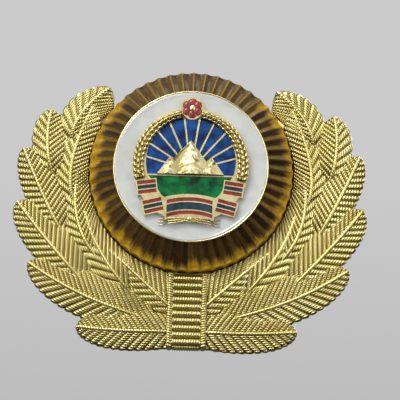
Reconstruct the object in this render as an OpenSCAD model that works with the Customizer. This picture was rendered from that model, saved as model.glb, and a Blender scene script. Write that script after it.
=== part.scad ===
// Cap badge: a stamped gilt leaf spray that carries a round cockade with an amber fluted ring,
// a white enamel disc and a raised emblem, held on the cap by a screw post with a round nut.
// Every part is drawn lying on its back, x to the wearer's left, y towards the badge's top and
// z out of its face, and is then stood upright: +Z is the top and -Y is the face.
// The origin is the cockade's axis in the plane of the badge's back. All sizes are millimetres.

/* [Leaf spray] */
// Height of each leaf's midrib above the badge's back
ridge_h = 2.3; // [1.8:0.1:3]
// Height of each leaf's outer edge above the badge's back
edge_h = 1.0; // [0.8:0.05:1.3]
// Height of each leaf's inner edge at its foot, where it lies over the next leaf
overlap_h = 1.8; // [1.3:0.05:2.1]
// Thickness of the stamped sheet
sheet_t = 0.5; // [0.35:0.05:0.6]
// Half the width of the tie at the foot of the spray
tie_half_w = 3.2; // [3:0.1:4]
// Spacing of the cords wound across the tie
cord_pitch = 1.15; // [0.9:0.05:1.4]

/* [Cockade] */
// Outer radius of the amber ring
amber_r = 16.85; // [16:0.05:18]
// Radius of the white enamel disc
disc_r = 12.4; // [11.8:0.05:12.8]
// Height of the white enamel's face above the badge's back
face_h = 7.0; // [6:0.1:7.5]
// Height of the amber ring's outer wall
wall_h = 2.5; // [1.5:0.1:3]
// Number of flutes round the amber ring
flutes = 52; // [40:1:64]
// Depth of each flute
flute_d = 0.35; // [0.15:0.05:0.5]

/* [Emblem] */
// Outer radius of the emblem's roped border
border_r = 9.5; // [9:0.1:10]
// Radius of the enamelled field inside the border
field_r = 7.3; // [7:0.1:7.6]
// Number of rays in the sky, counted over half a turn
rays = 11; // [7:2:15]
// Number of petals on the rosette
petals = 6; // [5:1:8]

/* [Cap fixing] */
// Radius of the screw post, M3
post_r = 1.5; // [1.5:0.1:2]
// Length of the screw post behind the badge's back
post_l = 9.5; // [8:0.5:14]
// Thickness of the cap's cloth and stiffener, between the back and the clamp washer
cloth_t = 2.5; // [1.5:0.1:3.5]
// Radius of the clamp washer
washer_r = 5.9; // [5:0.1:5.9]
// Radius of the round nut
nut_r = 5.2; // [4.5:0.1:5.8]
// Radius of each locating pin
pin_r = 0.6; // [0.5:0.05:0.7]
// Distance between the two locating pins
pin_span = 14.8; // [14.6:0.2:16]

/* [Hidden] */
$fn = 96;

gilt = "#cdbb72";
dark_gilt = "#8f7c3c";
brass = "#b59a55";

// Seat for the cockade: the sheet under the amber ring and drum
seat_top = 1.2;
seat_bottom = seat_top - sheet_t;
seat_r = amber_r + 0.1;
web_r = amber_r - 0.3;
web_top_r = 13.0;
web_open_angle = 46;
post_hole_r = 3.8;

// Drum that holds the enamel
drum_r = disc_r + 0.1;
drum_wall = 0.55;
rim_r = disc_r + 0.25;
floor_top = face_h - 0.9;
floor_t = 0.5;

// Leaves of one wing, from the foot of the midrib through its middle to the tip, then the
// half-widths on the outer and the inner side. The first six are the outer row, from the
// bottom up, and the rest the inner row beside the ring.
LEAVES = [
    [[2.0, -26.4], [10.2, -26.5], [17.9, -26.0], 3.0, 3.4],
    [[8.0, -23.9], [17.5, -20.6], [26.2, -15.6], 3.3, 4.0],
    [[17.8, -17.8], [23.5, -11.6], [28.5, -5.4], 3.3, 3.6],
    [[21.3, -9.9], [24.8, -3.2], [27.9, 3.7], 2.8, 3.2],
    [[23.2, 0.0], [24.0, 5.4], [23.5, 10.5], 2.5, 2.9],
    [[20.1, 5.5], [18.2, 10.2], [13.9, 14.4], 2.7, 4.8],
    [[2.5, -22.7], [7.9, -17.7], [13.5, -12.8], 2.4, 5.2],
    [[10.3, -19.1], [14.8, -12.9], [17.4, -6.5], 3.0, 4.4],
    [[15.5, -14.0], [18.6, -7.5], [18.6, 0.5], 2.8, 4.6],
    [[19.4, -4.8], [19.5, 1.7], [18.0, 8.5], 2.6, 4.2]
];
STATIONS = [0, 0.12, 0.3, 0.5, 0.75, 0.9, 0.97, 1];
foot_fall = 0.7;
tip_w = 0.15;
tie_top = -15.5;
tie_foot = -28.9;
tie_h = 2.1;
cord_r = 0.5;

// Emblem
field_y = 0.6;
horizon_y = -1.65;
plate_bottom = face_h;
plate_top = face_h + 0.4;
enamel_top = face_h + 0.7;
line_top = face_h + 0.85;
relief_top = face_h + 1.3;
line_w = 0.28;
sun_y = -0.9;
rosette_y = 9.5;
rosette_r = 1.75;
scroll_r = 14;
scroll_y = -5.1 - scroll_r;
scroll_half_w = 4.0;
stripe_w = 0.6;
stripe_gap = 0.18;
blue_w = 1.2;
// Ribbon folds on the right side: centre, turn and length
FOLDS = [[[7.0, -3.8], -8, 3.4], [[5.9, -6.9], -14, 3.5]];
fold_h = 2.5;
rivet_r = 0.45;
rivet_span = 8;

// Cap fixing
plate_r = 10.4;
foot_ring_r = 8.8;
plate_recess = 0.25;
collar_r = 3.2;
collar_l = 0.6;
head_r = 3.5;
head_t = 0.8;
shoulder_r = 1.0;
pin_l = 3.0;
pin_tip_l = 0.6;
washer_t = 0.6;
nut_t = 2.4;
nut_gap = 0.02;
nut_clearance = 0.05;
washer_clearance = 0.08;
nut_notches = 20;
notch_r = 0.35;
prong_t = 0.4;
prong_out_r = drum_r - drum_wall;
prong_angle = 9;

module upright() {
    rotate([90, 0, 0]) children();
}

module both_wings() {
    children();
    mirror([1, 0, 0]) children();
}

// A round solid between two heights
module disc(r, z0, z1) {
    translate([0, 0, z0]) cylinder(r = r, h = z1 - z0);
}

module slab(z0, z1) {
    translate([0, 0, z0]) linear_extrude(z1 - z0) children();
}

/* Leaf spray */

// The midrib is a parabola through the leaf's foot, middle and tip
function bend_point(l) = 2 * l[1] - (l[0] + l[2]) / 2;
function midrib(l, s) =
    (1 - s) * (1 - s) * l[0] + 2 * s * (1 - s) * bend_point(l) + s * s * l[2];
function heading(l, s) =
    let (d = (1 - s) * (bend_point(l) - l[0]) + s * (l[2] - bend_point(l))) atan2(d.y, d.x);
// Share of a leaf's full width along it: widest before the middle, round at the tip
function fullness(s) = (0.8 + 0.8 * s * (1 - s)) * sqrt(1 - 0.97 * pow(s, 6));
// Each leaf's foot dips under the leaves in front of it
function foot_dip(s) = foot_fall * pow(max(0, 1 - s / 0.25), 2);
function ridge(s) = ridge_h - 0.5 * s - foot_dip(s);
function inner_edge(s) = overlap_h - (overlap_h - edge_h) * s * s - foot_dip(s);

// One cross-section of a leaf: a flat foot, two upright edges and a sharp midrib
function leaf_section(l, s, inset, low) =
    let (
        p = midrib(l, s),
        a = heading(l, s),
        out = -max(l[3] * fullness(s) - inset, tip_w),
        in = max(l[4] * fullness(s) - inset, tip_w),
        across = [-sin(a), cos(a)],
        at = [[out, low], [out, edge_h - inset], [0, ridge(s) - inset],
            [in, inner_edge(s) - inset], [in, low]]
    )
    [for (q = at) [p.x + q[0] * across.x, p.y + q[0] * across.y, q[1]]];

// A leaf is one closed skin through its cross-sections; inset shrinks it all round
module leaf(l, inset, low) {
    shift = inset * [cos(heading(l, 1)), sin(heading(l, 1))];
    short = [l[0], l[1] - shift / 2, l[2] - shift, l[3], l[4]];
    last = 5 * (len(STATIONS) - 1);
    polyhedron(
        [for (s = STATIONS) each leaf_section(short, s, inset, low)],
        [
            [for (j = [4 : -1 : 0]) j],
            for (i = [0 : 5 : last - 5]) for (j = [0 : 4]) each let (k = (j + 1) % 5) [
                [i + j, i + k, i + 5 + k], [i + j, i + 5 + k, i + 5 + j]
            ],
            [for (j = [0 : 4]) last + j]
        ]
    );
}

module tie(inset, low) {
    half = tie_half_w - inset;
    foot = tie_foot + inset;
    translate([-half, foot, low]) cube([2 * half, tie_top - foot, tie_h - inset - low]);
}

module tie_cords() {
    n = floor((tie_top - tie_foot) / cord_pitch);
    for (i = [0 : n - 1])
        translate([-tie_half_w, tie_foot + (i + 0.5) * cord_pitch, tie_h - 0.1])
            rotate([0, 90, 0]) cylinder(r = cord_r, h = 2 * tie_half_w, $fn = 12);
}

module spray_body(inset, low) {
    both_wings() for (l = LEAVES) leaf(l, inset, low);
    tie(inset, low);
}

// Part of a round web that stays when the sector between the wing tips is left open
module web_outline() {
    circle(r = web_top_r);
    difference() {
        circle(r = web_r);
        polygon([
            [0, 0], 30 * [cos(web_open_angle), sin(web_open_angle)], [0, 40],
            30 * [-cos(web_open_angle), sin(web_open_angle)]
        ]);
    }
}

module prong_slots(z0, z1) {
    for (a = [30, 150, 210, 330]) rotate([0, 0, a - prong_angle / 2 - 1])
        rotate_extrude(angle = prong_angle + 2)
            translate([prong_out_r - prong_t - 0.1, z0]) square([prong_t + 0.2, z1 - z0]);
}

module leaf_spray() {
    color(gilt) upright() difference() {
        union() {
            difference() {
                spray_body(0, 0);
                spray_body(sheet_t, -1);
            }
            // Wall that joins the hollow leaves to the cockade's seat
            intersection() {
                spray_body(0, 0);
                difference() {
                    disc(seat_r + sheet_t, seat_bottom, 4);
                    disc(web_r - sheet_t, seat_bottom - 1, 5);
                }
            }
            slab(seat_bottom, seat_top) web_outline();
            tie_cords();
        }
        disc(seat_r, seat_top, 6);
        disc(web_r - sheet_t, -1, seat_bottom);
        disc(post_hole_r, -1, seat_top + 1);
        prong_slots(-1, seat_top + 1);
    }
}

/* Cockade */

module amber_ring() {
    inner_r = drum_r + 0.05;
    top_h = face_h - 0.35;
    edge_top = seat_top + wall_h;
    slope = atan2(top_h - edge_top, amber_r - rim_r);
    cut_l = norm([top_h - edge_top, amber_r - rim_r]);
    flute_half_w = 1.1;
    side_d = 0.25;
    side_half_w = 0.95;
    color("#c98f1e") upright() difference() {
        rotate_extrude() polygon([
            [inner_r, seat_top], [amber_r, seat_top], [amber_r, edge_top],
            [rim_r, top_h], [inner_r, top_h]
        ]);
        for (i = [0 : flutes - 1]) rotate([0, 0, i * 360 / flutes]) {
            translate([rim_r, 0, top_h]) rotate([0, 90 + slope, 0])
                translate([flute_d, 0, -0.2]) linear_extrude(cut_l + 1)
                    polygon([[0, 0], [-0.5, -flute_half_w], [-0.5, flute_half_w]]);
            translate([amber_r - side_d, 0, seat_top - 1]) linear_extrude(wall_h + 2)
                polygon([[0, 0], [side_d + 0.1, -side_half_w], [side_d + 0.1, side_half_w]]);
        }
    }
}

module rivet_places() {
    for (x = [-rivet_span / 2, rivet_span / 2]) translate([x, 0, 0]) children();
}

module cockade_drum() {
    in_r = drum_r - drum_wall;
    color(gilt) upright() difference() {
        rotate_extrude() polygon([
            [in_r, seat_top], [drum_r, seat_top], [drum_r, face_h - 0.3],
            [rim_r, face_h - 0.3], [rim_r, face_h], [rim_r - 0.07, face_h + 0.15],
            [disc_r + 0.07, face_h + 0.15], [disc_r, face_h], [disc_r, floor_top],
            [0, floor_top], [0, floor_top - floor_t], [in_r, floor_top - floor_t]
        ]);
        rivet_places() disc(rivet_r, floor_top - 1, face_h);
    }
}

module white_enamel() {
    color("#e9ecea") upright() difference() {
        rotate_extrude() polygon([
            [0, floor_top], [disc_r, floor_top], [disc_r, face_h - 0.1],
            [disc_r - 0.3, face_h], [0, face_h]
        ]);
        rivet_places() disc(rivet_r, floor_top - 1, face_h + 1);
    }
}

/* Emblem */

module scroll_band(r0, r1, half_w) {
    intersection() {
        translate([0, scroll_y]) difference() {
            circle(r = r1);
            circle(r = r0);
        }
        translate([-half_w, -12]) square([2 * half_w, 12]);
    }
}

// Outline of the ribbon's folds, which cross the border on both sides
module ribbon_folds() {
    both_wings() for (f = FOLDS) translate(f[0]) rotate(f[1])
        square([f[2], fold_h], center = true);
}

module field_area() {
    translate([0, field_y]) circle(r = field_r);
}

module horizon_up() {
    translate([-10, horizon_y]) square([20, 20]);
}

// Three peaks, mirrored about the badge's axis
module mountain_area() {
    translate([0, horizon_y]) polygon([
        [-5.4, 0], [-3.4, 2.9], [-2.5, 2.1], [0, 5.6], [2.5, 2.1], [3.4, 2.9], [5.4, 0]
    ]);
}

module ray_lines() {
    for (i = [1 : rays - 1]) translate([0, sun_y]) rotate(i * 180 / rays)
        translate([0, -line_w / 2]) square([20, line_w]);
}

module rosette_seat() {
    translate([0, rosette_y]) circle(r = rosette_r + 0.15);
}

module sky_area() {
    difference() {
        intersection() {
            field_area();
            horizon_up();
        }
        ray_lines();
        mountain_area();
        rosette_seat();
    }
}

module meadow_area() {
    difference() {
        intersection() {
            field_area();
            translate([0, horizon_y - 0.25])
                polygon([[-6.8, 0], [6.8, 0], [4.2, -3.8], [-4.2, -3.8]]);
        }
        translate([0, scroll_y]) circle(r = scroll_r + 0.25);
        ribbon_folds();
    }
}

module scroll_stripes(kind) {
    top = scroll_r - 0.3;
    low = top - 2 * stripe_w - blue_w - 2 * stripe_gap;
    if (kind == "red") {
        scroll_band(top - stripe_w, top, scroll_half_w - 0.3);
        scroll_band(low, low + stripe_w, scroll_half_w - 0.3);
    } else {
        scroll_band(
            low + stripe_w + stripe_gap, top - stripe_w - stripe_gap, scroll_half_w - 0.3
        );
    }
}

// Each fold shows a red, a dark blue and a red stripe
module fold_stripes(kind) {
    pitch = stripe_w + stripe_gap;
    both_wings() for (f = FOLDS) translate(f[0]) rotate(f[1])
        for (i = (kind == "blue") ? [0] : [-1, 1])
            translate([0, i * pitch]) square([f[2] - 0.4, stripe_w], center = true);
}

module rosette_area(r) {
    translate([0, rosette_y]) for (i = [0 : petals - 1]) rotate(i * 360 / petals + 30)
        translate([r * 0.55, 0]) circle(r = r * 0.42, $fn = 24);
    translate([0, rosette_y]) circle(r = r * 0.45, $fn = 24);
}

module emblem_outline() {
    circle(r = border_r);
    scroll_band(scroll_r - 3.4, scroll_r, scroll_half_w);
    ribbon_folds();
    rosette_seat();
}

module emblem_cells() {
    sky_area();
    meadow_area();
    scroll_stripes("red");
    scroll_stripes("blue");
    fold_stripes("red");
    fold_stripes("blue");
    rosette_area(rosette_r);
}

// Raised half-round bead round the field, above the ribbon and under the rosette
module border_bead() {
    bead_r = 0.7;
    difference() {
        translate([0, 0, line_top - 0.1]) intersection() {
            rotate_extrude() translate([border_r - 0.3 - bead_r, 0])
                circle(r = bead_r, $fn = 32);
            translate([-15, -2.3, 0]) cube([30, 15, 2]);
        }
        slab(plate_top, relief_top + 1) rosette_seat();
    }
}

module emblem_plate() {
    color(gilt) upright() {
        slab(plate_bottom, plate_top) emblem_outline();
        slab(plate_top, line_top) difference() {
            emblem_outline();
            emblem_cells();
        }
        slab(line_top, relief_top) mountain_area();
        border_bead();
    }
}

module enamel_cell(colour, top) {
    color(colour) upright() slab(plate_top, top) children();
}

module sky_enamel() {
    enamel_cell("#1d3f96", enamel_top) sky_area();
}

module meadow_enamel() {
    enamel_cell("#0f7a3a", enamel_top) meadow_area();
}

module ribbon_red_enamel() {
    enamel_cell("#a8402f", enamel_top) {
        scroll_stripes("red");
        fold_stripes("red");
    }
}

module ribbon_blue_enamel() {
    enamel_cell("#1f5a6b", enamel_top) {
        scroll_stripes("blue");
        fold_stripes("blue");
    }
}

module rosette_enamel() {
    enamel_cell("#b5402f", line_top) rosette_area(rosette_r);
}

module emblem_rivets() {
    color(dark_gilt) upright() rivet_places() {
        disc(rivet_r, floor_top - floor_t, plate_bottom);
        disc(rivet_r * 2, floor_top - floor_t - 0.4, floor_top - floor_t);
    }
}

/* Cap fixing */

module cockade_prongs() {
    in_r = prong_out_r - prong_t;
    color(brass) upright() for (a = [30, 150, 210, 330]) rotate([0, 0, a - prong_angle / 2])
        rotate_extrude(angle = prong_angle) polygon([
            [in_r, seat_bottom - prong_t], [in_r + 2.4, seat_bottom - prong_t],
            [in_r + 2.4, seat_bottom], [prong_out_r, seat_bottom],
            [prong_out_r, floor_top - floor_t - 1], [in_r, floor_top - floor_t - 1]
        ]);
}

module pin_places() {
    for (x = [-pin_span / 2, pin_span / 2]) translate([x, 0, 0]) children();
}

module backing_plate() {
    color(brass) upright() difference() {
        disc(plate_r, 0, seat_bottom);
        disc(foot_ring_r, -1, plate_recess);
        disc(post_r, -1, seat_top);
        pin_places() disc(shoulder_r, -1, seat_top);
    }
}

module post_collar() {
    color(dark_gilt) upright() rotate_extrude() polygon([
        [post_r, plate_recess], [collar_r, plate_recess], [collar_r, -collar_l / 2],
        [collar_r - 0.6, -collar_l], [post_r, -collar_l]
    ]);
}

module screw_post() {
    chamfer = 0.4;
    color(brass) upright() rotate_extrude() polygon([
        [0, seat_bottom + head_t], [head_r, seat_bottom + head_t], [head_r, seat_bottom],
        [post_r, seat_bottom], [post_r, chamfer - post_l], [post_r - chamfer, -post_l],
        [0, -post_l]
    ]);
}

module locating_pins() {
    color(brass) upright() pin_places() rotate_extrude($fn = 48) polygon([
        [0, seat_bottom], [shoulder_r, seat_bottom], [shoulder_r, 0], [pin_r, 0],
        [pin_r, -pin_l], [0.1, -pin_l - pin_tip_l], [0, -pin_l - pin_tip_l]
    ]);
}

module clamp_washer() {
    color(gilt) upright() difference() {
        disc(washer_r, -cloth_t - washer_t, -cloth_t);
        disc(post_r + washer_clearance, -cloth_t - 2, 0);
    }
}

module clamp_nut() {
    front = -cloth_t - washer_t - nut_gap;
    back = front - nut_t;
    color(gilt) upright() difference() {
        rotate_extrude() polygon([
            [0, front], [nut_r - 0.3, front], [nut_r, front - 0.3], [nut_r, back + 0.3],
            [nut_r - 0.3, back], [0, back]
        ]);
        disc(post_r + nut_clearance, back - 1, front + 1);
        for (i = [0 : nut_notches - 1]) rotate([0, 0, i * 360 / nut_notches])
            translate([nut_r, 0, 0]) disc(notch_r, back - 1, front + 1);
    }
}

leaf_spray();
amber_ring();
cockade_drum();
white_enamel();
emblem_plate();
sky_enamel();
meadow_enamel();
ribbon_red_enamel();
ribbon_blue_enamel();
rosette_enamel();
emblem_rivets();
cockade_prongs();
backing_plate();
post_collar();
screw_post();
locating_pins();
clamp_washer();
clamp_nut();
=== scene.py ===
"""The looks of the cap badge: its corded leaf spray, amber cockade, enamelled emblem and screw fixing.

Shapes are worked out in the badge's drawn frame, in millimetres: x to the right, y up the badge and
z out of its face, from the cockade's axis in the plane of the back. place() takes them to the row
frame, in metres. The cockade's sizes are read from the CAD nodes' boxes.
"""

import math
from collections import namedtuple

import bpy
import numpy as np
from mathutils import Matrix, Vector


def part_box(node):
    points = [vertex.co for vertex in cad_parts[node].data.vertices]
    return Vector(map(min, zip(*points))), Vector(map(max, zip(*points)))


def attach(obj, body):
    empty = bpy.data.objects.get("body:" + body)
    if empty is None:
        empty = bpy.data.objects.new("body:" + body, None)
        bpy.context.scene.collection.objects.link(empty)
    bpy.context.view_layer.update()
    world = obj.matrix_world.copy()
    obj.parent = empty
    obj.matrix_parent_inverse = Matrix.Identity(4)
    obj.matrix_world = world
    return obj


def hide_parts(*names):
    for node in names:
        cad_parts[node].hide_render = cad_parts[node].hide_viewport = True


MM = 0.001

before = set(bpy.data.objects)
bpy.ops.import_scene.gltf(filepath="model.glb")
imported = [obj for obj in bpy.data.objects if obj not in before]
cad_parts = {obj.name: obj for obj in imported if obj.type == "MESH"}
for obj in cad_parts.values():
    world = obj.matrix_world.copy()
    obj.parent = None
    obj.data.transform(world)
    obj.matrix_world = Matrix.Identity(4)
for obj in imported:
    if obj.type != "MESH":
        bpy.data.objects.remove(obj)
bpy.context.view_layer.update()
rng = np.random.default_rng(7)

# ---------------------------------------------------------------- the cockade's sizes, from the CAD


def node_size(node):
    """Half-width, back height and face height of a CAD node, in the drawn frame."""
    low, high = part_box(node)
    return (high.x - low.x) / 2 / MM, -high.y / MM, -low.y / MM


AMBER_R, SEAT_TOP, AMBER_TOP = node_size("amber_ring")
DISC_R, FLOOR_TOP, FACE = node_size("white_enamel")
RIM_R, _, RIM_TOP = node_size("cockade_drum")
_, POST_END, POST_HEAD_TOP = node_size("screw_post")
DRUM_R = DISC_R + 0.1
SEAT_R = AMBER_R + 0.1

# ---------------------------------------------------------------- mesh helpers


def place(points):
    """Drawn frame in millimetres to the row frame in metres."""
    p = np.asarray(points, float) * MM
    return np.stack([p[:, 0], -p[:, 2], p[:, 1]], axis=1)


def smoothstep(x, low, high):
    """Rises smoothly from 0 at low to 1 at high."""
    t = np.clip((x - low) / (high - low), 0, 1)
    return t * t * (3 - 2 * t)


def full_turn(count):
    """Angles of count equal steps round a circle."""
    return np.linspace(0, 2 * np.pi, count, endpoint=False)


def flipped(faces):
    """The same faces, turned inside out. Each keeps its first corner."""
    return [f[:1] + f[:0:-1] for f in faces]


def grid_faces(rows, columns, start=0, flip=False):
    """Quads over a grid of points held row by row."""
    i, j = np.meshgrid(np.arange(rows - 1), np.arange(columns - 1), indexing="ij")
    a = start + (i * columns + j).ravel()
    quads = np.stack([a, a + columns, a + columns + 1, a + 1], axis=1)
    return (quads[:, ::-1] if flip else quads).tolist()


def perimeter(rows, columns):
    """Grid places round a grid's edge, in order."""
    out = [(0, j) for j in range(columns - 1)]
    out += [(i, columns - 1) for i in range(rows - 1)]
    out += [(rows - 1, j) for j in range(columns - 1, 0, -1)]
    out += [(i, 0) for i in range(rows - 1, 0, -1)]
    return out


def closed_sheet(top, under, row_step, column_step):
    """A fine grid of points closed by a coarser grid under it, taken at every step-th point."""
    rows, columns = top.shape[:2]
    low = under[::row_step, ::column_step]
    low_columns = low.shape[1]
    start = rows * columns
    faces = grid_faces(rows, columns)
    faces += grid_faces(low.shape[0], low_columns, start, flip=True)
    edge = perimeter(rows, columns)
    below = start
    for (i0, j0), (i1, j1) in zip(edge, edge[1:] + edge[:1]):
        here, following = i0 * columns + j0, i1 * columns + j1
        faces.append((here, following, below))
        if i1 % row_step == 0 and j1 % column_step == 0:
            step_on = start + (i1 // row_step) * low_columns + j1 // column_step
            faces.append((following, step_on, below))
            below = step_on
    return np.concatenate([top.reshape(-1, 3), low.reshape(-1, 3)]), faces


def padded(shade, count, fill):
    """A closed sheet's shades: those of its fine grid, then fill for the points under it."""
    out = np.full(count, fill)
    out[: shade.size] = shade.ravel()
    return out


def tube_faces(rings, sides):
    """Faces of a tube of rings of points, with a cap on each end."""
    faces = []
    for i in range(rings - 1):
        a, b = i * sides, (i + 1) * sides
        for j in range(sides):
            k = (j + 1) % sides
            faces.append((a + j, b + j, b + k, a + k))
    faces.append(tuple(range(sides)))
    faces.append(tuple(range(rings * sides - 1, (rings - 1) * sides - 1, -1)))
    return faces


def lathe(profile, segments, wobble=None):
    """A closed ring of (radius, height) points turned round the cockade's axis."""
    profile = np.asarray(profile, float)
    angles = full_turn(segments)
    r = profile[None, :, 0] + np.zeros((segments, 1))
    z = profile[None, :, 1] + np.zeros((segments, 1))
    if wobble is not None:
        r, z = wobble(angles[:, None], r, z)
    points = np.stack([r * np.cos(angles)[:, None], r * np.sin(angles)[:, None], z], axis=2)
    count = len(profile)
    faces = []
    for i in range(segments):
        a, b = i * count, (i + 1) % segments * count
        for j in range(count):
            k = (j + 1) % count
            faces.append((a + j, b + j, b + k, a + k))
    return points, faces


def turned(profile, segments):
    """A solid of revolution whose (radius, height) profile starts and ends on the axis."""
    middle = np.asarray(profile[1:-1], float)
    angles = full_turn(segments)
    r = middle[None, :, 0]
    z = middle[None, :, 1] + np.zeros((segments, 1))
    rings = np.stack([r * np.cos(angles)[:, None], r * np.sin(angles)[:, None], z], axis=2)
    count = len(middle)
    first, last = segments * count, segments * count + 1
    ends = [[0, 0, profile[0][1]], [0, 0, profile[-1][1]]]
    faces = []
    for i in range(segments):
        a, b = i * count, (i + 1) % segments * count
        faces.append((first, b, a))
        faces += [(a + j, b + j, b + j + 1, a + j + 1) for j in range(count - 1)]
        faces.append((last, a + count - 1, b + count - 1))
    return np.concatenate([rings.reshape(-1, 3), ends]), faces


def dome(radius, foot, shoulder, rise, steps, segments):
    """A button: a wall from foot to shoulder height under a rounded top."""
    r = np.linspace(0, radius, steps)
    z = shoulder + rise * np.sqrt(1 - (r / radius) ** 2)
    return turned([(0, foot), (radius, foot)] + list(zip(r, z))[::-1], segments)


class Skin:
    """Points and faces of several closed shells, gathered to make one piece."""

    def __init__(self):
        self.points, self.shades, self.faces, self.count = [], [], [], 0

    def add(self, points, faces, shades=None, mirrored=False):
        """Adds a shell. shades is its painted shade and light, 0 in its hollows and 1 on its heights,
        and mirrored flips x.
        """
        points = np.asarray(points, float).reshape(-1, 3)
        if mirrored:
            points = points * [-1, 1, 1]
        for f in faces:
            f = tuple(k + self.count for k in f)
            self.faces.append(f[::-1] if mirrored else f)
        self.points.append(points)
        self.shades.append(np.ones(len(points)) if shades is None else np.ravel(shades))
        self.count += len(points)

    def piece(self, name, material, replaced=(), slot="gilt_stamping"):
        """Makes the piece, on the badge. The painted shades become its relief attribute."""
        mesh = bpy.data.meshes.new(name)
        mesh.from_pydata(place(np.concatenate(self.points)).tolist(), [], self.faces)
        mesh.shade_smooth()
        # The relief attribute carries painted shade and light, which the materials turn into colour.
        layer = mesh.attributes.new("relief", "FLOAT", "POINT")
        layer.data.foreach_set("value", np.concatenate(self.shades).astype(np.float32))
        mesh.materials.append(material)
        mesh.update()
        piece = bpy.data.objects.new(name, mesh)
        bpy.context.scene.collection.objects.link(piece)
        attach(piece, "badge")
        if replaced:
            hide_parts(*replaced)


# ---------------------------------------------------------------- materials


def new_material(name):
    material = bpy.data.materials.new(name)
    material.use_nodes = True
    nodes, links = material.node_tree.nodes, material.node_tree.links
    return material, nodes, links, nodes["Principled BSDF"]


def noise(nodes, links, scale, detail=4.0):
    """A noise texture in object space. scale is in cells a metre."""
    coords = nodes.new("ShaderNodeTexCoord")
    texture = nodes.new("ShaderNodeTexNoise")
    texture.inputs["Scale"].default_value = scale
    texture.inputs["Detail"].default_value = detail
    links.new(coords.outputs["Object"], texture.inputs["Vector"])
    return texture.outputs["Fac"]


def ramp(nodes, links, value, stops):
    """A colour ramp over (place, colour) stops."""
    node = nodes.new("ShaderNodeValToRGB")
    elements = node.color_ramp.elements
    while len(elements) < len(stops):
        elements.new(0.5)
    for element, (at, colour) in zip(elements, stops):
        element.position = at
        element.color = (*colour, 1)
    links.new(value, node.inputs["Fac"])
    return node.outputs["Color"]


def spread(nodes, links, value, low, high, value_low=0.0):
    """Maps a value that runs from value_low to 1 to low to high."""
    node = nodes.new("ShaderNodeMapRange")
    node.inputs["From Min"].default_value = value_low
    node.inputs["To Min"].default_value = low
    node.inputs["To Max"].default_value = high
    links.new(value, node.inputs["Value"])
    return node.outputs["Result"]


def bump(nodes, links, shader, value, strength, distance):
    """Fine surface grain. distance is in metres."""
    node = nodes.new("ShaderNodeBump")
    node.inputs["Strength"].default_value = strength
    node.inputs["Distance"].default_value = distance
    links.new(value, node.inputs["Height"])
    links.new(node.outputs["Normal"], shader.inputs["Normal"])


def multiply(nodes, links, first, second):
    """The product of two colours."""
    node = nodes.new("ShaderNodeMix")
    node.data_type = "RGBA"
    node.blend_type = "MULTIPLY"
    node.inputs["Factor"].default_value = 1.0
    links.new(first, node.inputs["A"])
    links.new(second, node.inputs["B"])
    return node.outputs["Result"]


def painted_shade_and_light(nodes):
    """The relief attribute that Skin gives a mesh: its painted shade and light."""
    relief = nodes.new("ShaderNodeAttribute")
    relief.attribute_name = "relief"
    return relief.outputs["Fac"]


def gilt(name, tint, worn, rough, painted_crevice_shade=False, grain=2600):
    """Gilding with faint tarnish. The crevice flag paints shade into what lies low, read from the
    relief attribute.
    """
    material, nodes, links, shader = new_material(name)
    shader.inputs["Metallic"].default_value = 1.0
    tarnish = noise(nodes, links, 260)
    colour = ramp(nodes, links, tarnish, [(0.32, worn), (0.62, tint)])
    if painted_crevice_shade:
        # Painted shade: near black in the hollows and between stitches, up to the full gilt on the
        # heights.
        painted_shade_stops = [(0.0, (0.06, 0.045, 0.010)), (0.45, (0.50, 0.46, 0.27)), (1.0, (1, 1, 1))]
        shade = ramp(nodes, links, painted_shade_and_light(nodes), painted_shade_stops)
        colour = multiply(nodes, links, colour, shade)
    links.new(colour, shader.inputs["Base Color"])
    fine = noise(nodes, links, grain, 3.0)
    links.new(spread(nodes, links, fine, rough - 0.06, rough + 0.08), shader.inputs["Roughness"])
    bump(nodes, links, shader, fine, 0.25, 0.00003)
    return material


def enamel(name, colour, deep, rough=0.08, coat=0.6, specular=0.5):
    """Fired enamel: a deep even colour under a glossy skin with a faint orange-peel ripple."""
    material, nodes, links, shader = new_material(name)
    cloud = noise(nodes, links, 520)
    links.new(ramp(nodes, links, cloud, [(0.36, deep), (0.62, colour)]), shader.inputs["Base Color"])
    shader.inputs["Specular IOR Level"].default_value = specular
    shader.inputs["Coat Weight"].default_value = coat
    shader.inputs["Coat Roughness"].default_value = 0.04
    wave = noise(nodes, links, 150, 1.0)
    links.new(spread(nodes, links, wave, rough, rough + 0.06), shader.inputs["Roughness"])
    bump(nodes, links, shader, wave, 0.08, 0.0002)
    return material


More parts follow.
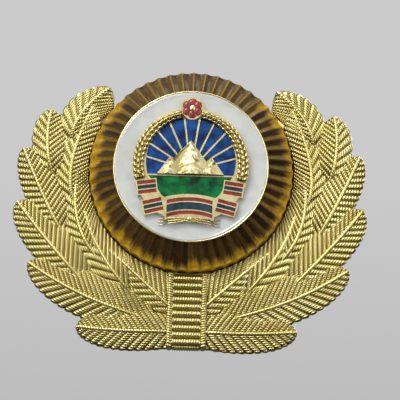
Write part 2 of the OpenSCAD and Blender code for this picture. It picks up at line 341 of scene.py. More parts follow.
def amber_plastic():
    """Clear amber plastic, brown where it is thick and light where it is thin over the gilding:
    painted shade and a painted glow of the gilding, from the relief attribute.
    """
    material, nodes, links, shader = new_material("amber_plastic")
    # From painted shade, dark brown, to a painted glow, bright amber.
    shade_to_glow = [
        (0.0, (0.022, 0.011, 0.003)),
        (0.3, (0.11, 0.066, 0.016)),
        (0.6, (0.26, 0.150, 0.013)),
        (1.0, (0.43, 0.250, 0.011)),
    ]
    tone = ramp(nodes, links, painted_shade_and_light(nodes), shade_to_glow)
    specks = [(0.36, (0.70, 0.68, 0.64)), (0.64, (1, 1, 1))]
    cloud = ramp(nodes, links, noise(nodes, links, 2200), specks)
    links.new(multiply(nodes, links, tone, cloud), shader.inputs["Base Color"])
    shader.inputs["Specular IOR Level"].default_value = 0.16
    shader.inputs["Specular Tint"].default_value = (1.0, 0.75, 0.35, 1)
    shader.inputs["Coat Weight"].default_value = 0.12
    shader.inputs["Coat Roughness"].default_value = 0.12
    shader.inputs["Subsurface Weight"].default_value = 0.12
    shader.inputs["Subsurface Radius"].default_value = (1.0, 0.5, 0.1)
    shader.inputs["Subsurface Scale"].default_value = 0.0006
    fine = noise(nodes, links, 1500, 2.0)
    links.new(spread(nodes, links, fine, 0.16, 0.3), shader.inputs["Roughness"])
    bump(nodes, links, shader, fine, 0.1, 0.00004)
    return material


def plain(name, colour, rough):
    """A plain stage surface."""
    material, _, _, shader = new_material(name)
    shader.inputs["Base Color"].default_value = (*colour, 1)
    shader.inputs["Roughness"].default_value = rough
    return material


corded = gilt("corded_gilt", (0.90, 0.80, 0.42), (0.78, 0.68, 0.30), 0.31, painted_crevice_shade=True)
# Painted shade: a darker copy of the gilt for the CAD leaf sheet, seen in the gaps between cords and
# under the leaves.
stamped_in_painted_shade = gilt("stamped_gilt_in_painted_shade", (0.40, 0.32, 0.12), (0.26, 0.20, 0.07), 0.34)
bright = gilt("bright_gilt", (0.86, 0.74, 0.40), (0.74, 0.62, 0.30), 0.18, grain=3400)
emblem_gilt = gilt("emblem_gilt", (0.85, 0.73, 0.38), (0.70, 0.57, 0.25), 0.24, painted_crevice_shade=True)
emblem_plain = gilt("emblem_ground", (0.88, 0.77, 0.43), (0.62, 0.50, 0.22), 0.26, grain=1500)
mountain_gilt = gilt("mountain_gilt", (0.90, 0.82, 0.55), (0.78, 0.68, 0.40), 0.38, painted_crevice_shade=True)
brass = gilt("plain_brass", (0.66, 0.46, 0.17), (0.50, 0.34, 0.13), 0.30)
stamped_brass = gilt("stamped_brass", (0.60, 0.42, 0.16), (0.44, 0.30, 0.11), 0.36)
threaded = gilt("threaded_brass", (0.66, 0.46, 0.17), (0.50, 0.34, 0.13), 0.28, painted_crevice_shade=True)
solder = gilt("tinned_solder", (0.58, 0.57, 0.54), (0.40, 0.39, 0.37), 0.38)
white = enamel("white_enamel", (0.475, 0.485, 0.46), (0.43, 0.445, 0.42))
blue = enamel("blue_enamel", (0.007, 0.060, 0.23), (0.002, 0.010, 0.055), 0.14, 0.06, 0.25)
green = enamel("green_enamel", (0.001, 0.150, 0.036), (0.001, 0.024, 0.008), 0.14, 0.06, 0.25)
red = enamel("red_enamel", (0.25, 0.032, 0.024), (0.15, 0.018, 0.013), 0.14, 0.15, 0.35)
teal = enamel("teal_enamel", (0.018, 0.045, 0.062), (0.006, 0.018, 0.028), 0.14, 0.15, 0.35)
amber = amber_plastic()

# ---------------------------------------------------------------- leaf spray

Leaf = namedtuple("Leaf", "foot middle tip outside inside outside_slant inside_slant tip_edge")

# Leaves of the right wing; the left wing is their mirror. foot, middle and tip are points of the
# midrib, outside and inside are half-widths, the slants are the cords' angles to the midrib, in
# degrees, and tip_edge is the height of the inside edge at the tip.
LEAVES = [
    Leaf((2.0, -26.4), (10.2, -26.5), (17.9, -26.0), 3.0, 3.4, 47, 55, 1.0),
    Leaf((8.0, -23.9), (17.5, -20.6), (26.2, -15.6), 3.3, 4.0, 46, 48, 1.0),
    Leaf((17.8, -17.8), (23.5, -11.6), (28.5, -5.4), 3.3, 3.6, 50, 44, 1.0),
    Leaf((21.3, -9.9), (24.8, -3.2), (27.9, 3.7), 2.8, 3.2, 64, 57, 1.0),
    Leaf((23.2, 0.0), (24.0, 5.4), (23.5, 10.5), 2.5, 2.9, 43, 55, 1.0),
    Leaf((20.1, 5.5), (18.2, 10.2), (13.9, 14.4), 2.7, 4.8, 40, 47, 1.0),
    Leaf((2.5, -22.7), (7.9, -17.7), (13.5, -12.8), 2.4, 5.2, 42, 40, 1.0),
    Leaf((10.3, -19.1), (14.8, -12.9), (17.4, -6.5), 3.0, 4.4, 36, 36, 1.0),
    Leaf((15.5, -14.0), (18.6, -7.5), (18.6, 0.5), 2.8, 4.6, 43, 45, 1.0),
    Leaf((19.4, -4.8), (19.6, 2.3), (16.5, 11.4), 2.6, 4.4, 36, 60, 2.0),
]
FOOT_S, TIP_S = -0.18, 1.005  # where the cords start and end, as shares of the midrib
OVERHANG = 0.14  # cords past the CAD leaf's edge
RIDGE_H = 2.3  # height at the midrib
EDGE_H = 1.0  # height at the outside edge
OVERLAP_H = 1.8  # height at the inside edge, near the foot
FOOT_FALL = 0.7  # drop at the foot, where the leaf dives under its neighbour
OUTER_PITCH, INNER_PITCH = 0.95, 0.74  # from cord to cord
OUTER_STITCH, INNER_STITCH = 0.46, 0.41  # from stitch to stitch along a cord
STITCH_LEAN = 0.22  # slant of a stitch across its cord
ACROSS = np.array([-1, -0.80, -0.40, 0.0, 0.40, 0.80])  # mesh rows across a cord
CORD_H = 0.34  # height of a cord over the leaf
STITCH_D = 0.24  # depth between two stitches
CORD_END = 0.42  # length of a cord's rounded end
END_DROP = 0.30  # drop of a cord's end
HEM_DROP = 0.25  # depth of the sheet's hem under the leaf's edge
BELLY = 0.10  # extra height halfway from the midrib to the edge
SEAT_BACK = 0.75  # cords stay above the back of the CAD's seat
SKIN_T = 0.02  # least thickness of the corded sheets
ROPE_LAY = 0.95  # length of one twist of the midrib ropes


def bend(leaf):
    """The Bezier point that makes the midrib pass through the leaf's middle."""
    foot, middle, tip = np.array(leaf.foot), np.array(leaf.middle), np.array(leaf.tip)
    return 2 * middle - (foot + tip) / 2


def midrib(leaf, s):
    """Points of the midrib, from 0 at its foot to 1 at its tip."""
    s = np.asarray(s, float)[..., None]
    foot, tip = np.array(leaf.foot), np.array(leaf.tip)
    return (1 - s) ** 2 * foot + 2 * s * (1 - s) * bend(leaf) + s * s * tip


def heading(leaf, s):
    """The midrib's direction."""
    s = np.asarray(s, float)[..., None]
    foot, tip = np.array(leaf.foot), np.array(leaf.tip)
    d = (1 - s) * (bend(leaf) - foot) + s * (tip - bend(leaf))
    return np.arctan2(d[..., 1], d[..., 0])


def midrib_length(leaf):
    path = midrib(leaf, np.linspace(0, 1, 60))
    return np.linalg.norm(np.diff(path, axis=0), axis=1).sum()


def fullness(s):
    """Share of a leaf's full width along it."""
    s = np.clip(s, 0, TIP_S)
    return (0.8 + 0.8 * s * (1 - s)) * np.sqrt(np.maximum(1 - 0.97 * s**6, 0))


def foot_dip(s):
    """How far the leaf lies lower near its foot."""
    return FOOT_FALL * np.clip(1 - s / 0.25, 0, 1.2) ** 2


def ridge(s):
    """Height at the midrib."""
    return RIDGE_H - 0.5 * s - foot_dip(s)


def inner_edge(leaf, s):
    """Height at the inside edge."""
    return OVERLAP_H - (OVERLAP_H - leaf.tip_edge) * np.clip(s, 0, 1) ** 2 - foot_dip(s)


def under_ring(x, y, z, room=0.03):
    """Presses heights down to the cockade's seat, with a steep short rise outside it."""
    r = np.hypot(x, y)
    return np.minimum(z, SEAT_TOP - room + np.maximum(r - AMBER_R + 0.03, 0) * 6)


def closing(slant, s):
    """The cords' angle to the midrib, which gets smaller towards the tip."""
    return slant * (1 - 0.25 * np.clip(s, 0, 1) ** 4)


def cord_rows(length, slant, pitch):
    """The mesh rows of one side: their places along the midrib, and -1 to 1 across their cord."""
    cords = int(round((TIP_S - FOOT_S) * length * math.sin(slant) / pitch))
    across = np.append(np.tile(ACROSS, cords), -1.0)
    phase = np.append((np.arange(cords)[:, None] + (ACROSS + 1) / 2).ravel(), cords)
    return FOOT_S + phase / cords * (TIP_S - FOOT_S), across


def cord_ends(s, length, slant, width):
    """Where along the leaf the cords that start at s come to its edge."""
    edge_s = np.linspace(FOOT_S - 0.2, TIP_S, 400)
    root_s = edge_s - width * fullness(edge_s) / (length * np.tan(closing(slant, edge_s)))
    return np.interp(s, root_s, edge_s)


def half_leaf(leaf, outer):
    """The cords on one side of a leaf: a closed sheet of rounded, stitched cords."""
    width = (leaf.outside if outer else leaf.inside) + OVERHANG
    slant = math.radians(leaf.outside_slant if outer else leaf.inside_slant)
    pitch = OUTER_PITCH if outer else INNER_PITCH
    stitch_step = OUTER_STITCH if outer else INNER_STITCH
    length = midrib_length(leaf)
    s, across = cord_rows(length, slant, pitch)
    end_s = cord_ends(s, length, slant, width)
    angle = closing(slant, end_s)
    reach = np.maximum(width * fullness(end_s) / np.sin(angle), 0.02)
    round_off = np.sqrt(np.maximum(1 - across**2, 0))
    span = (reach - np.minimum(CORD_END, 0.35 * reach) * (1 - round_off))[:, None]

    # Points along each cord. The last column repeats the cord's end, lower, as the hem.
    steps = max(12, int(math.ceil(reach.max() / stitch_step * 4)))
    along = np.append(np.linspace(0, 1, steps), 1.0)[None, :] * span
    root = midrib(leaf, s)
    turn = heading(leaf, s) + (-angle if outer else angle)
    x = root[:, :1] + along * np.cos(turn)[:, None]
    y = root[:, 1:] + along * np.sin(turn)[:, None]

    # Height of the leaf under the cords.
    at_s = s[:, None] + along * np.cos(angle)[:, None] / length
    leaf_width = np.maximum(width * fullness(at_s), 0.05)
    out = np.clip(along * np.sin(angle)[:, None] / leaf_width, 0, 1)
    edge = EDGE_H if outer else inner_edge(leaf, at_s)
    base = ridge(at_s) + (edge - ridge(at_s)) * out + 0.05 + BELLY * np.sin(np.pi * out)

    # Height of the cords: rounded across and at the end, with a dip between two stitches.
    left = np.clip((span - along) / CORD_END, 0, 1)
    end = np.sqrt(1 - (1 - left) ** 2)
    stitch = np.abs(np.sin(np.pi * (along / stitch_step + STITCH_LEAN * across[:, None])))
    body = round_off[:, None] * (0.25 + 0.75 * end)
    z = base + body * (CORD_H - STITCH_D * (1 - stitch)) - END_DROP * (1 - end)
    hem = EDGE_H if outer else inner_edge(leaf, at_s[:, -1])
    z[:, -1] = np.minimum(z[:, -2], hem - HEM_DROP)
    z = under_ring(x, y, z)
    z = np.where(np.hypot(x, y) < SEAT_R, np.maximum(z, SEAT_BACK), z)
    z_under = np.minimum(under_ring(x, y, base - 0.18, 0.3), z - SKIN_T)
    z_under[:, -1] = z[:, -1] - SKIN_T

    # Painted shade: dark between the stitches, down the cords' sides and at their ends, and under the
    # sheet.
    shade = np.clip(body * (0.12 + 0.95 * stitch**1.4), 0, 1)
    top = np.stack([x, y, z], axis=2)
    under = np.stack([x, y, z_under], axis=2)
    if outer:
        top, under, shade = top[:, ::-1], under[:, ::-1], shade[:, ::-1]
    points, faces = closed_sheet(top, under, len(ACROSS), steps)
    return points, faces, padded(shade, len(points), 0.0)


def midrib_rope(leaf):
    """A twisted cord along a leaf's midrib."""
    length = midrib_length(leaf)
    rings, sides = int(length / 0.1), 12
    s = np.linspace(-0.02, 1.0, rings)
    around = full_turn(sides)[None, :]
    centre, turn = midrib(leaf, s), heading(leaf, s)
    strand = np.abs(np.cos(2 * np.pi * (s[:, None] * length / ROPE_LAY) + around)) ** 0.6
    taper = np.sqrt(np.clip(1 - np.clip((s - 0.93) / 0.08, 0, 1) ** 2, 0.02, 1))[:, None]
    radius = (0.24 + 0.10 * strand) * taper
    side, lift = radius * np.cos(around), radius * np.sin(around)
    x = centre[:, :1] - side * np.sin(turn)[:, None]
    y = centre[:, 1:] + side * np.cos(turn)[:, None]
    middle = under_ring(centre[:, :1], centre[:, 1:], (ridge(s) + 0.16)[:, None], 0.4)
    points = np.stack([x, y, middle + lift], axis=2)
    # Painted shade between the rope's strands.
    return points, tube_faces(rings, sides), 0.2 + 0.65 * strand


TIE_HALF = 3.2  # half-width of the tie
TIE_TOP, TIE_FOOT = -16.0, -28.9  # its ends
TIE_H = 2.1  # height of its front
TIE_PITCH = 1.15  # from rope to rope
TIE_STITCH = 0.41  # from stitch to stitch along a rope
ROPE_HALF = 2.22  # half-width of the ropes
COLUMN_X, COLUMN_HALF = 2.76, 0.56  # middle and half-width of a stitched column
COLUMN_STITCH = 0.40  # from stitch to stitch along a column


def tie_cords():
    """The bound tie: wide ropes across the middle and a finer stitched column on each side.

    The surface runs down the front, over a rounded foot and straight back from it.
    """
    bend_r, wall_drop, step, hold = 0.75, 0.9, 0.07, 12
    straight = TIE_TOP - TIE_FOOT - bend_r
    length = straight + bend_r * math.pi / 2 + wall_drop
    along = np.linspace(length, 0, int(length / step / hold) * hold + 1)[None, :]
    turn = np.clip((along - straight) / bend_r, 0, math.pi / 2)
    beyond = np.maximum(along - straight - bend_r * math.pi / 2, 0)
    path_y = TIE_TOP - np.minimum(along, straight) - bend_r * np.sin(turn)
    path_z = TIE_H + 0.12 - bend_r * (1 - np.cos(turn)) - beyond

    # Relief of the ropes and of the columns.
    x = np.linspace(-TIE_HALF - 0.06, TIE_HALF + 0.06, 97)[:, None]
    u = (along / TIE_PITCH % 1) * 2 - 1
    rope = np.sqrt(np.maximum(1 - (1.12 * u) ** 2, 0))
    groove = np.abs(np.sin(np.pi * (x / TIE_STITCH + 0.25 * u)))
    middle = 0.50 * rope - 0.17 * (1 - groove) * rope
    v = (np.abs(x) - COLUMN_X) / COLUMN_HALF
    column = np.sqrt(np.clip(1 - v**2, 0, 1))
    stitch = np.abs(np.sin(np.pi * (along / COLUMN_STITCH + 0.3 * v)))
    sides = 0.45 * column - 0.22 * (1 - stitch) * column
    centre = np.abs(x) < ROPE_HALF
    relief = np.where(centre, middle, sides)

    y = path_y - relief * np.sin(turn)
    wall = np.abs(x) > TIE_HALF + 0.05
    z = np.where(wall, np.minimum(path_z, 0.9), path_z + relief * np.cos(turn))
    z = under_ring(x, y, z)
    z_under = np.minimum(z, path_z - 0.25) - SKIN_T
    top = np.stack([x + 0 * y, y, z], axis=2)
    under = np.stack([x + 0 * y, np.maximum(y, TIE_FOOT + 0.15), z_under], axis=2)
    points, faces = closed_sheet(top, under, hold, hold)
    # Painted shade: dark in the grooves between ropes and stitches, and under the sheet.
    shade = np.where(centre, rope * (0.2 + 0.8 * groove), column * (0.2 + 0.8 * stitch))
    return points, faces, padded(shade, len(points), 0.0)


def build_spray():
    for name, mirrored in (("leaf_cords_right", False), ("leaf_cords_left", True)):
        skin = Skin()
        for leaf in LEAVES:
            skin.add(*half_leaf(leaf, True), mirrored)
            skin.add(*half_leaf(leaf, False), mirrored)
        skin.piece(name, corded)
    ropes = Skin()
    for leaf in LEAVES:
        rope = midrib_rope(leaf)
        ropes.add(*rope)
        ropes.add(*rope, mirrored=True)
    ropes.piece("midrib_cords", corded)
    tie = Skin()
    tie.add(*tie_cords())
    tie.piece("tie_cords", corded)


# ---------------------------------------------------------------- cockade

FLUTES = 52
FLUTE_D = 0.40
EDGE_TOP = SEAT_TOP + 2.5  # top of the ring's outer wall
EDGE_BREAK = 0.12  # the rounded edge between the wall and the slope


def ring_profile():
    """The ring's half-section, from its foot round the wall, the slope and the bore."""
    inner = DRUM_R + 0.05
    slope_foot = EDGE_TOP + EDGE_BREAK
    share = np.linspace(0, 1, 20)
    slope_r = RIM_R + (AMBER_R - EDGE_BREAK - RIM_R) * share
    slope_z = slope_foot + (AMBER_TOP - slope_foot) * (1 - share**1.25)
    wall_z = np.linspace(EDGE_TOP, SEAT_TOP + 0.05, 8)
    profile = [(inner, SEAT_TOP), (inner, AMBER_TOP)]
    profile += list(zip(slope_r, slope_z))
    profile += [(AMBER_R, z) for z in wall_z] + [(AMBER_R - 0.2, SEAT_TOP)]
    return profile[::-1]


def flute_at(angle):
    """Number of the flute at an angle, and the place across it, from 0 to 1."""
    turn = angle / (2 * np.pi) * FLUTES
    return np.floor(turn).astype(int) % FLUTES, turn % 1


def amber_painted_light(points):
    """Painted light and shade on the amber, from 0 for dark brown to 1 for bright amber.

    A painted glow of the gilding behind lights the thin outer edge, and a painted highlight lies
    in each flute, weaker on the low side as painted shade. The top quarter of the ring has no
    gilding behind it, and there only painted highlights on the ridges between the flutes are light.
    """
    segments = len(points)
    r = np.hypot(points[..., 0], points[..., 1])
    angle = np.arctan2(points[..., 1], points[..., 0])
    which, across = flute_at(full_turn(segments)[:, None])
    patch = rng.uniform(-0.12, 0.12, FLUTES)[which] + rng.uniform(-0.07, 0.07, (segments, 1))
    glow_from_gilt_behind = 1 - smoothstep(np.pi / 4 - np.abs(angle - np.pi / 2), -0.06, 0.10)
    shaded_low_side = smoothstep(-np.sin(angle), 0.35, 0.9)
    flute_highlight = smoothstep(across, 0.04, 0.16) * (1 - smoothstep(across, 0.42, 0.54))
    flute_highlight = flute_highlight * (1 - 0.75 * shaded_low_side)
    off_middle = np.abs(across * 2 - 1)
    crest_highlight = smoothstep(off_middle, 0.74, 1.0)
    tooth = 1 - off_middle
    edge = smoothstep(r + patch * 3.5 + 0.5 * (tooth - 0.5), AMBER_R - 1.8, AMBER_R - 0.4)
    inside = 0.02 + 0.38 * flute_highlight + 0.08 * crest_highlight
    over_gilt = inside + (0.70 + 0.28 * tooth - inside) * edge
    open_top = 0.14 + 0.12 * flute_highlight + 0.50 * crest_highlight
    tone = glow_from_gilt_behind * over_gilt + (1 - glow_from_gilt_behind) * open_top
    return np.clip(tone + patch * 0.5, 0, 1)


def build_amber_ring():
    """The fluted ring: sharp ridges between hollow flutes, thin at its scalloped edge."""
    uneven = rng.uniform(0.8, 1.15, FLUTES)

    def cut_flutes(angle, r, z):
        which, across = flute_at(angle)
        cut = FLUTE_D * (1 - np.abs(across * 2 - 1) ** 1.7) * uneven[which]
        on_wall = r > AMBER_R - 0.15
        down = np.where(on_wall, 0.0, 0.85) * smoothstep(r, RIM_R - 0.05, RIM_R + 0.3)
        inward = np.where(on_wall, 0.6, 0.45 * smoothstep(r, AMBER_R - 1.6, AMBER_R - 0.3))
        return r - inward * cut, z - down * cut

    points, faces = lathe(ring_profile(), FLUTES * 12, cut_flutes)
    skin = Skin()
    skin.add(points, faces, amber_painted_light(points))
    skin.piece("amber_flutes", amber, replaced=["amber_ring"], slot="amber")


def build_drum():
    """The gilt drum with its rolled rim."""
    bead = 0.5 * (RIM_R - DISC_R)
    bead_h = bead * 0.85
    middle_r, middle_z = DISC_R + bead, RIM_TOP - bead_h
    turns = np.linspace(-0.15 * np.pi, 1.15 * np.pi, 15)
    wall, bore, under_floor = DRUM_R - 0.55, 3.0, FLOOR_TOP - 0.5
    profile = [(wall, SEAT_TOP), (DRUM_R, SEAT_TOP), (DRUM_R, FACE - 0.35)]
    profile += [(middle_r + bead * math.cos(a), middle_z + bead_h * math.sin(a)) for a in turns]
    profile += [(DISC_R, FLOOR_TOP), (bore, FLOOR_TOP), (bore, under_floor)]
    profile += [(wall - 0.3, under_floor), (wall, under_floor - 0.3)]
    skin = Skin()
    skin.add(*lathe(profile, 256))
    skin.piece("drum_with_rim", bright, replaced=["cockade_drum"], slot="bright_gilt")


def build_white_enamel():
    """The white disc, which creeps up the rim all round and sinks a little towards its middle."""
    creep_h, creep_w, sink = 0.16, 0.35, 0.03
    share = np.linspace(0, 1, 40)
    swell = creep_h * np.exp(-(1 - share) * DISC_R / creep_w) - sink * (1 - share**2)
    top = list(zip(DISC_R * share, FACE - 0.06 + swell))
    profile = [(0, FLOOR_TOP + 0.01), (DISC_R, FLOOR_TOP + 0.01)] + top[::-1]
    skin = Skin()
    skin.add(*turned(profile, 256))
    skin.piece("white_disc", white, replaced=["white_enamel"], slot="white_enamel")


# ---------------------------------------------------------------- emblem

LINE_TOP = FACE + 0.85  # top of the CAD plate's gold lines
HORIZON_Y = -1.65
BORDER_R = 8.5  # radius of the border's middle
BED_R, BED_Z = 0.73, FACE + 0.75  # the border's round bed
SCALES = 15  # in each row of half the border


def small_scale(length, half_width, height):
    """A pointed scale with a midrib, on its back at the origin and pointing along x."""
    rows, columns = 11, 9
    s = np.linspace(0, 1, rows)[:, None]
    v = np.linspace(-1, 1, columns)[None, :]
    outline = np.sin(np.pi * s**0.8) ** 0.8 * (1 - 0.1 * s)
    x = (s - 0.5) * length + 0 * v
    y = v * half_width * outline
    vein = 0.20 * (1 - np.abs(v)) ** 4
    z = height * (np.sqrt(np.maximum(1 - v**2, 0)) * 0.85 + vein) * outline**0.5
    top = np.stack([x, y, z], axis=2)
    under = np.stack([x, y, z * 0 - 0.12], axis=2)
    points, faces = closed_sheet(top, under, rows - 1, columns - 1)
    # Painted shade: darker towards the scale's edges and under it.
    shade = 0.35 + 0.65 * np.sqrt(np.clip(z / height, 0, 1))
    return points, faces, padded(shade, len(points), 0.35)


def border_bed_in_painted_shade(low, high):
    """The round bed under the scales, from one angle to the other, painted dark as shade."""
    rings, sides = 70, 16
    a = np.linspace(high + 0.02, low - 0.05, rings)[:, None]
    b = full_turn(sides)[None, :]
    r = BORDER_R + BED_R * np.cos(b)
    z = BED_Z + BED_R * np.sin(b) + 0 * a
    points = np.stack([r * np.cos(a), r * np.sin(a), z], axis=2)
    return points, flipped(tube_faces(rings, sides)), np.full(rings * sides, 0.2)


def on_border(points, angle, row):
    """Turns and moves a scale to its place: row is -1, 0 or 1 from the inside to the outside."""
    narrow = 1 - 0.3 * smoothstep(angle, 0.7, 1.2)
    r = BORDER_R + row * 0.60 * narrow
    turn = angle + math.pi / 2 - 0.14 * row
    size = 0.95 + 0.10 * rng.random()
    c, d = math.cos(turn) * size, math.sin(turn) * size
    px, py = points[:, 0], points[:, 1] * narrow
    x = px * c - py * d + r * math.cos(angle)
    y = px * d + py * c + r * math.sin(angle)
    rise = 0.72 if row == 0 else 0.42
    z = points[:, 2] * size + BED_Z + rise + px * 0.08
    return np.stack([x, y, z], axis=1)


def build_garland():
    """The emblem's border: three rows of small scales on a bed painted dark as shade, mirrored left
    and right.
    """
    points, faces, shades = small_scale(1.05, 0.36, 0.40)
    low, high = math.radians(-14), math.radians(78)
    bed = border_bed_in_painted_shade(low, high)
    skin = Skin()
    for mirrored in (False, True):
        skin.add(*bed, mirrored)
        for row in (-1, 0, 1):
            for i in range(SCALES):
                share = (i + 0.5 * (row == 0)) / (SCALES - 0.5)
                scale = on_border(points, low + (high - low) * share, row)
                skin.add(scale, faces, shades, mirrored)
    skin.piece("border_scales", emblem_gilt)


def build_strands():
    """Gold strands that fan out to both sides under the ribbon, and the knot between them."""
    skin = Skin()
    rings, sides = 40, 10
    faces = flipped(tube_faces(rings, sides))
    around = full_turn(sides)[None, :]
    s = np.linspace(1, 0, rings)[:, None]
    x = 0.15 + 5.0 * s
    middle_z = LINE_TOP + 0.02 + (FACE + 0.12 - LINE_TOP) * smoothstep(x, 3.2, 4.4)
    radius = 0.12 * np.sqrt(np.clip(1 - ((s - 0.42) / 0.60) ** 2, 0.03, 1))
    # Painted light on the side facing out of the badge, painted shade on the side towards it.
    shade = 0.05 + 0.95 * np.clip(np.sin(around) + 0 * s, 0, 1)
    for start_y, end_y in ((-8.74, -8.98), (-9.0, -9.50), (-9.26, -10.02)):
        y = start_y + (end_y - start_y) * s - 0.06 * np.sin(np.pi * s)
        rings_y, rings_z = y + radius * np.cos(around), middle_z + radius * np.sin(around)
        points = np.stack([x + 0 * around, rings_y, rings_z], axis=2)
        skin.add(points, faces, shade)
        skin.add(points, faces, shade, mirrored=True)
    knot, knot_faces = dome(0.42, FACE + 0.3, LINE_TOP + 0.10, 0.26, 8, 24)
    skin.add(knot * [1, 0.8, 1] + [0, -9.0, 0], knot_faces)
    skin.piece("gold_strands", emblem_gilt)


def crags(x, y):
    """Uneven cuts in the mountainsides: folded waves of three sizes, in random directions."""
    cut = np.zeros_like(y)
    for waves, depth, directions in ((1.5, 0.22, 3), (3.3, 0.13, 4), (7.0, 0.06, 4)):
        for a in rng.uniform(0, np.pi, directions):
            wave = np.sin(waves * (x * np.cos(a) + y * np.sin(a)) + rng.uniform(0, 6))
            cut += depth / directions * np.abs(wave)
    return cut


def build_mountains():
    """Three ridged peaks in relief, over the CAD plate's mountain outline."""
    outline_x = np.array([-5.4, -3.4, -2.5, 0, 2.5, 3.4, 5.4])
    outline_y = HORIZON_Y + np.array([0, 2.9, 2.1, 5.6, 2.1, 2.9, 0])
    columns, rows = 109, 41
    x = np.linspace(-5.38, 5.38, columns)[:, None]
    v = np.linspace(0, 1, rows)[None, :]
    skyline = np.interp(x[:, 0], outline_x, outline_y)[:, None]
    y = HORIZON_Y + (skyline - HORIZON_Y) * v
    cut = crags(x, y)
    form = np.zeros_like(y)
    for peak_x, peak_y, tall in ((0, 3.95, 1.0), (-3.4, 1.25, 0.72), (3.4, 1.25, 0.72)):
        down = np.maximum(peak_y - y, 0)
        sway = 0.25 * np.sin(down * 2.2 + peak_x) + 0.10 * np.sin(down * 5.3 + 2 * peak_x)
        lean = np.abs(x - peak_x + sway) / (0.50 + 0.62 * down)
        peak = tall * (1.05 - 0.75 * lean) * (0.66 + 0.34 * np.exp(-down * 0.5)) - cut
        form = np.maximum(form, peak)
    height = 0.25 + 0.95 * np.clip(form, 0, 1)
    z = height * (1 - 0.35 * smoothstep(v, 0.90, 1.0)) + FACE + 0.88
    top = np.stack([x + 0 * y, y, z], axis=2)
    under = np.stack([x + 0 * y, y, z * 0 + FACE + 0.8], axis=2)
    points, faces = closed_sheet(top, under, columns - 1, rows - 1)
    # Painted shade: darker the lower the relief lies.
    shade = np.clip((z - FACE - 0.95) / 0.75, 0.12, 1)
    skin = Skin()
    skin.add(points, faces, padded(shade, len(points), 0.4))
    skin.piece("mountain_relief", mountain_gilt)


def build_rosette():
    """The small red rosette, with a domed petal for each CAD petal and a gilt boss."""
    low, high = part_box("rosette_enamel")
    middle_y = (low.z + high.z) / 2 / MM
    radius = (high.z - low.z) / 2 / MM
    petal, faces = dome(radius * 0.43, FACE + 0.41, LINE_TOP - 0.05, 0.22, 7, 28)
    petals = Skin()
    for i in range(6):
        a = math.radians(60 * i + 30)
        shift = [0.57 * radius * math.cos(a), middle_y + 0.57 * radius * math.sin(a), 0]
        petals.add(petal + shift, faces)
    petals.piece("rosette_petals", red, replaced=["rosette_enamel"], slot="red_enamel")
    button, faces = dome(radius * 0.32, FACE + 0.5, LINE_TOP + 0.10, 0.26, 8, 32)
    boss = Skin()
    boss.add(button + [0, middle_y, 0], faces)
    boss.piece("rosette_boss", emblem_gilt)


# ---------------------------------------------------------------- cap fixing

POST_R = 1.5
POST_HEAD_R = 3.5
THREAD_PITCH, THREAD_D = 0.5, 0.24
THREAD_RUN = 0.5  # length over which the thread rises at the post's end
COLLAR_R = 3.2


def thread():
    """The threaded shank, from the post's end, where the thread rises slowly, to the badge's back."""
    low, high = POST_END + 0.15, -0.7
    rings, sides = int((high - low) / THREAD_PITCH * 10), 48
    z = np.linspace(low, high, rings)[:, None]
    around = full_turn(sides)[None, :]
    phase = (z / THREAD_PITCH + around / (2 * np.pi)) % 1
    groove = np.clip(np.abs(phase * 2 - 1) * 1.35 - 0.15, 0, 1)
    near_end = z < low + THREAD_RUN
    rise = np.clip((z - low) / THREAD_RUN, 0, 1)
    depth = THREAD_D * np.where(near_end, 1 - (1 - groove) * rise, groove)
    radius = POST_R - 0.01 - depth
    points = np.stack([radius * np.cos(around), radius * np.sin(around), z + 0 * around], axis=2)
    # Painted shade in the thread's groove.
    return points, flipped(tube_faces(rings, sides)), np.clip(1 - 0.75 * groove, 0, 1)


def build_screw_post():
    """The post's threaded shank, and its plain neck and flat head inside the cockade."""
    neck_r, neck_low, head_low = POST_R - 0.02, -0.8, POST_HEAD_TOP - 0.8
    profile = [(0, neck_low), (neck_r, neck_low), (neck_r, head_low)]
    profile += [(POST_HEAD_R - 0.1, head_low), (POST_HEAD_R, head_low + 0.1)]
    profile += [(POST_HEAD_R, POST_HEAD_TOP - 0.12), (POST_HEAD_R - 0.12, POST_HEAD_TOP)]
    profile += [(0, POST_HEAD_TOP)]
    skin = Skin()
    skin.add(*thread())
    skin.add(*turned(profile, 96))
    skin.piece("threaded_post", threaded, replaced=["screw_post"], slot="plain_brass")


def build_collar_fillet():
    """The uneven bead of solder round the post collar."""
    inner = COLLAR_R - 0.05
    uneven = 0.12 * rng.random(6)
    bead = [(inner, 0.22), (inner, -0.02), (3.35, -0.02), (3.55, 0.07), (3.85, 0.22)]

    def spread_out(angle, r, z):
        wave = sum(uneven[k] * np.sin((k + 2) * angle + 5 * uneven[k]) for k in range(6))
        return r + (r - inner) * wave * 1.6, z

    skin = Skin()
    skin.add(*lathe(bead, 160, spread_out))
    skin.piece("solder_fillet", solder, slot="solder_tinned")


# ---------------------------------------------------------------- carried-over CAD nodes


def dress_cad_nodes():
    """Gives each CAD node that stays its material."""
    finishes = {
        "leaf_spray": stamped_in_painted_shade,
        "emblem_plate": emblem_plain,
        "sky_enamel": blue,
        "meadow_enamel": green,
        "ribbon_red_enamel": red,
        "ribbon_blue_enamel": teal,
        "emblem_rivets": brass,
        "cockade_prongs": brass,
        "backing_plate": stamped_brass,
        "post_collar": solder,
        "locating_pins": brass,
        "clamp_washer": brass,
        "clamp_nut": brass,
    }
    for name, material in finishes.items():
        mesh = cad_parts[name].data
        mesh.materials.clear()
        mesh.materials.append(material)


# ---------------------------------------------------------------- stage, in metres

FLOOR_Z = -0.10
FLOOR_HALF = 3.0
WORLD_STRENGTH = 0.66

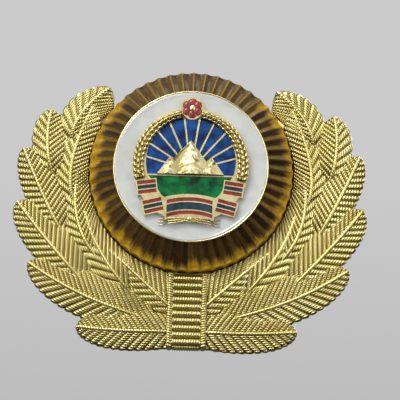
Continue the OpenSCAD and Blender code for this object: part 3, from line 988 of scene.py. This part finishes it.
# Name, place, width, height and watts of each soft light. All of them face the badge.
LIGHTS = [
    ("key", (-0.50, -1.15, 0.90), 0.75, 0.55, 15.0),
    ("left", (-0.90, -1.15, 0.05), 0.60, 0.85, 6.9),
    ("right", (0.90, -1.15, 0.0), 0.60, 0.85, 6.9),
    ("top", (0.12, -0.25, 1.50), 1.00, 0.50, 6.3),
    ("back", (0.70, 1.25, 0.75), 1.20, 0.90, 10.0),
]

# The photograph's view: from 13 degrees below the face's normal, a little to one side and rolled.
VIEW_TARGET = Vector((1.59, 0, -4.01)) * MM
VIEW_SIDE, VIEW_RISE, VIEW_ROLL = math.radians(0.5), math.radians(-12.85), math.radians(1.69)
VIEW_DISTANCE = 0.3007
LENS, SENSOR = 163.2, 36


def build_floor():
    e = FLOOR_HALF
    mesh = bpy.data.meshes.new("floor")
    corners = [(-e, -e, FLOOR_Z), (e, -e, FLOOR_Z), (e, e, FLOOR_Z), (-e, e, FLOOR_Z)]
    mesh.from_pydata(corners, [], [(0, 1, 2, 3)])
    mesh.materials.append(plain("pale_floor", (0.40, 0.40, 0.395), 0.8))
    floor = bpy.data.objects.new("floor", mesh)
    bpy.context.scene.collection.objects.link(floor)
    floor.visible_glossy = False


def build_world():
    """A plain studio round the badge: pale above the horizon and dark below it."""
    world = bpy.data.worlds.new("studio")
    world.use_nodes = True
    nodes, links = world.node_tree.nodes, world.node_tree.links
    coords = nodes.new("ShaderNodeTexCoord")
    split = nodes.new("ShaderNodeSeparateXYZ")
    links.new(coords.outputs["Generated"], split.inputs["Vector"])
    height = spread(nodes, links, split.outputs["Z"], 0.0, 1.0, value_low=-1.0)
    down_to_up = [
        (0.0, (0.16, 0.15, 0.14)),
        (0.42, (0.22, 0.21, 0.20)),
        (0.52, (0.70, 0.70, 0.70)),
        (0.62, (0.90, 0.90, 0.91)),
        (1.0, (0.90, 0.90, 0.92)),
    ]
    background = nodes["Background"]
    links.new(ramp(nodes, links, height, down_to_up), background.inputs["Color"])
    background.inputs["Strength"].default_value = WORLD_STRENGTH
    bpy.context.scene.world = world


def build_lights():
    for name, at, width, height, watts in LIGHTS:
        data = bpy.data.lights.new(name, "AREA")
        data.shape = "RECTANGLE"
        data.size, data.size_y = width, height
        data.energy = watts
        light = bpy.data.objects.new(name, data)
        light.location = at
        light.rotation_euler = (-Vector(at)).to_track_quat("-Z", "Y").to_euler()
        bpy.context.scene.collection.objects.link(light)


def build_camera():
    data = bpy.data.cameras.new("camera")
    data.lens = LENS
    data.sensor_width = SENSOR
    data.clip_start, data.clip_end = 0.02, 20
    camera = bpy.data.objects.new("camera", data)
    level = math.cos(VIEW_RISE)
    back = Vector((math.sin(VIEW_SIDE) * level, -math.cos(VIEW_SIDE) * level, math.sin(VIEW_RISE)))
    at = Matrix.Translation(VIEW_TARGET + back * VIEW_DISTANCE)
    facing = back.to_track_quat("Z", "Y").to_matrix().to_4x4()
    camera.matrix_world = at @ facing @ Matrix.Rotation(VIEW_ROLL, 4, "Z")
    bpy.context.scene.collection.objects.link(camera)
    bpy.context.scene.camera = camera


# ---------------------------------------------------------------- the scene

build_spray()
build_amber_ring()
build_drum()
build_white_enamel()
build_garland()
build_strands()
build_mountains()
build_rosette()
build_screw_post()
build_collar_fillet()
dress_cad_nodes()
build_floor()
build_world()
build_lights()
build_camera()

bpy.context.scene.view_settings.view_transform = "Standard"
bpy.context.view_layer.update()
